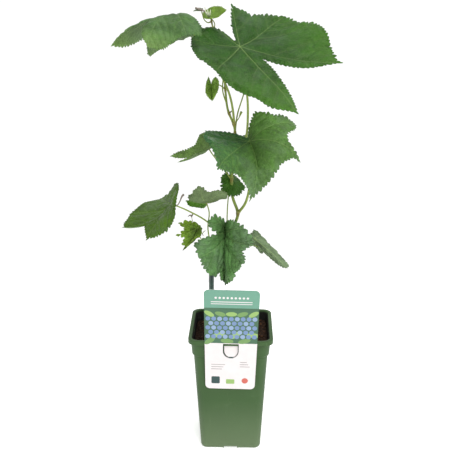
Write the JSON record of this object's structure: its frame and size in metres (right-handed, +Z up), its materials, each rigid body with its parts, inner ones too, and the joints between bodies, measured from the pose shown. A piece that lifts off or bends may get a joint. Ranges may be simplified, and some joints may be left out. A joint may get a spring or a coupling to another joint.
{
  "type": "young potted grapevine",
  "caption": "Young grapevine in a square nursery pot: one waxed cutting with a green shoot, toothed lobed leaves on long stalks, soil and a hanging plant label.",
  "frame": {"origin": "middle of the flat underside of the pot, at ground level", "axes": "+Z up along the plant, -Y toward the side of the pot the label hangs on, +X to the right seen from that side"},
  "size_m": [0.2636, 0.2065, 0.576],
  "materials": {
    "pot": "satin",
    "soil": "matte",
    "label": "satin",
    "waxed_wood": "satin",
    "green_shoot": "satin",
    "leaf_mature": "satin",
    "leaf_bluish": "satin",
    "leaf_underside": "matte",
    "leaf_young": "satin"
  },
  "bodies": {
    "root": {"pot": "pot", "soil": "soil", "label_card": "label", "trunk_old_wood": "waxed_wood", "main_shoot": "green_shoot", "leaf_top_large": "leaf_mature", "leaf_top_arched": "leaf_mature", "leaf_left_low": "leaf_mature", "leaf_left_middle": "leaf_mature", "leaf_young_behind": "leaf_mature", "leaf_back_upper": "leaf_mature", "leaf_back_crown": "leaf_mature", "leaf_back_middle": "leaf_mature", "leaf_back_low": "leaf_mature", "leaf_middle_large": "leaf_bluish", "leaf_front_low": "leaf_bluish", "leaf_left_edge_on": "leaf_underside", "leaf_right_rolled": "leaf_underside", "leaf_tip_unfolding": "leaf_underside", "leaf_young_yellow": "leaf_young", "leaf_tip_young": "leaf_young", "leaf_young_upper": "leaf_young"}
  },
  "joints": []
}
